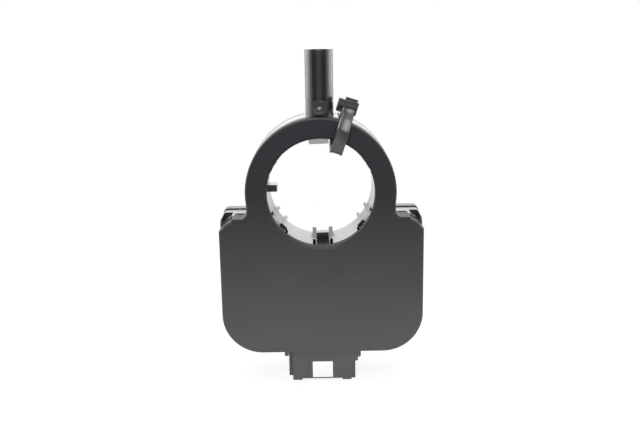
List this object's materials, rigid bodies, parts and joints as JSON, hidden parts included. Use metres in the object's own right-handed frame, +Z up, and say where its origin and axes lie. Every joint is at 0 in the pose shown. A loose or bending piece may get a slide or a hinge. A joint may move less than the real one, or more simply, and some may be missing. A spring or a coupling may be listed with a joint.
{
  "type": "steering angle sensor",
  "caption": "Steering angle sensor: a geared ring rotor in a flat black housing turns magnet gears in front of a circuit board, with a round guide post on top and a connector socket below.",
  "frame": {"origin": "the shaft bore's axis at the front face of the front cover", "axes": "+X right as seen from the front, +Y along the shaft bore to the back, +Z up along the guide post"},
  "size_m": [0.0764, 0.0277, 0.1268],
  "materials": {
    "cover_plastic": "fine moulded grain, matt black",
    "housing_plastic": "smooth moulded black",
    "rear_plastic": "satin moulded black",
    "rotor_plastic": "glossy low-friction black",
    "gear_plastic": "natural acetal",
    "magnet": "bonded magnet, dull grey",
    "board": "green solder mask",
    "chip": "moulded epoxy",
    "can_metal": "drawn metal can",
    "capacitor_case": "moulded ochre case",
    "ceramic": "fired ceramic",
    "terminal_metal": "tin plated",
    "label_film": "white film, blank",
    "tie_plastic": "smooth black nylon"
  },
  "bodies": {
    "housing": {"front_cover": "cover_plastic", "main_housing": "housing_plastic", "rear_cover": "rear_plastic", "circuit_board": "board", "sensor_chip_a": "chip", "sensor_chip_b": "chip", "microcontroller": "chip", "bus_transceiver": "chip", "voltage_regulator": "chip", "choke_coil": "chip", "crystal": "can_metal", "supply_capacitor": "capacitor_case", "capacitors": "ceramic", "resistors": "chip", "connector_terminals": "terminal_metal", "label": "label_film", "cable_tie": "tie_plastic"},
    "rotor": {"rotor_hub": "rotor_plastic"},
    "gear_a": {"measuring_gear_a": "gear_plastic", "magnet_a": "magnet"},
    "gear_b": {"measuring_gear_b": "gear_plastic", "magnet_b": "magnet"}
  },
  "joints": [
    {"name": "rotor_turn", "type": "hinge", "parent": "housing", "child": "rotor", "pos_m": [0, 0, 0], "axis": [0, 1, 0], "continuous": true},
    {"name": "gear_a_turn", "type": "hinge", "parent": "housing", "child": "gear_a", "pos_m": [-0.01397, 0, -0.03138], "axis": [0, 1, 0], "continuous": true},
    {"name": "gear_b_turn", "type": "hinge", "parent": "housing", "child": "gear_b", "pos_m": [0.01426, 0, -0.03202], "axis": [0, 1, 0], "continuous": true}
  ],
  "couplings": [
    {"joint": "gear_a_turn", "follows": "rotor_turn", "ratio": -2.7692},
    {"joint": "gear_b_turn", "follows": "rotor_turn", "ratio": -2.5714}
  ]
}
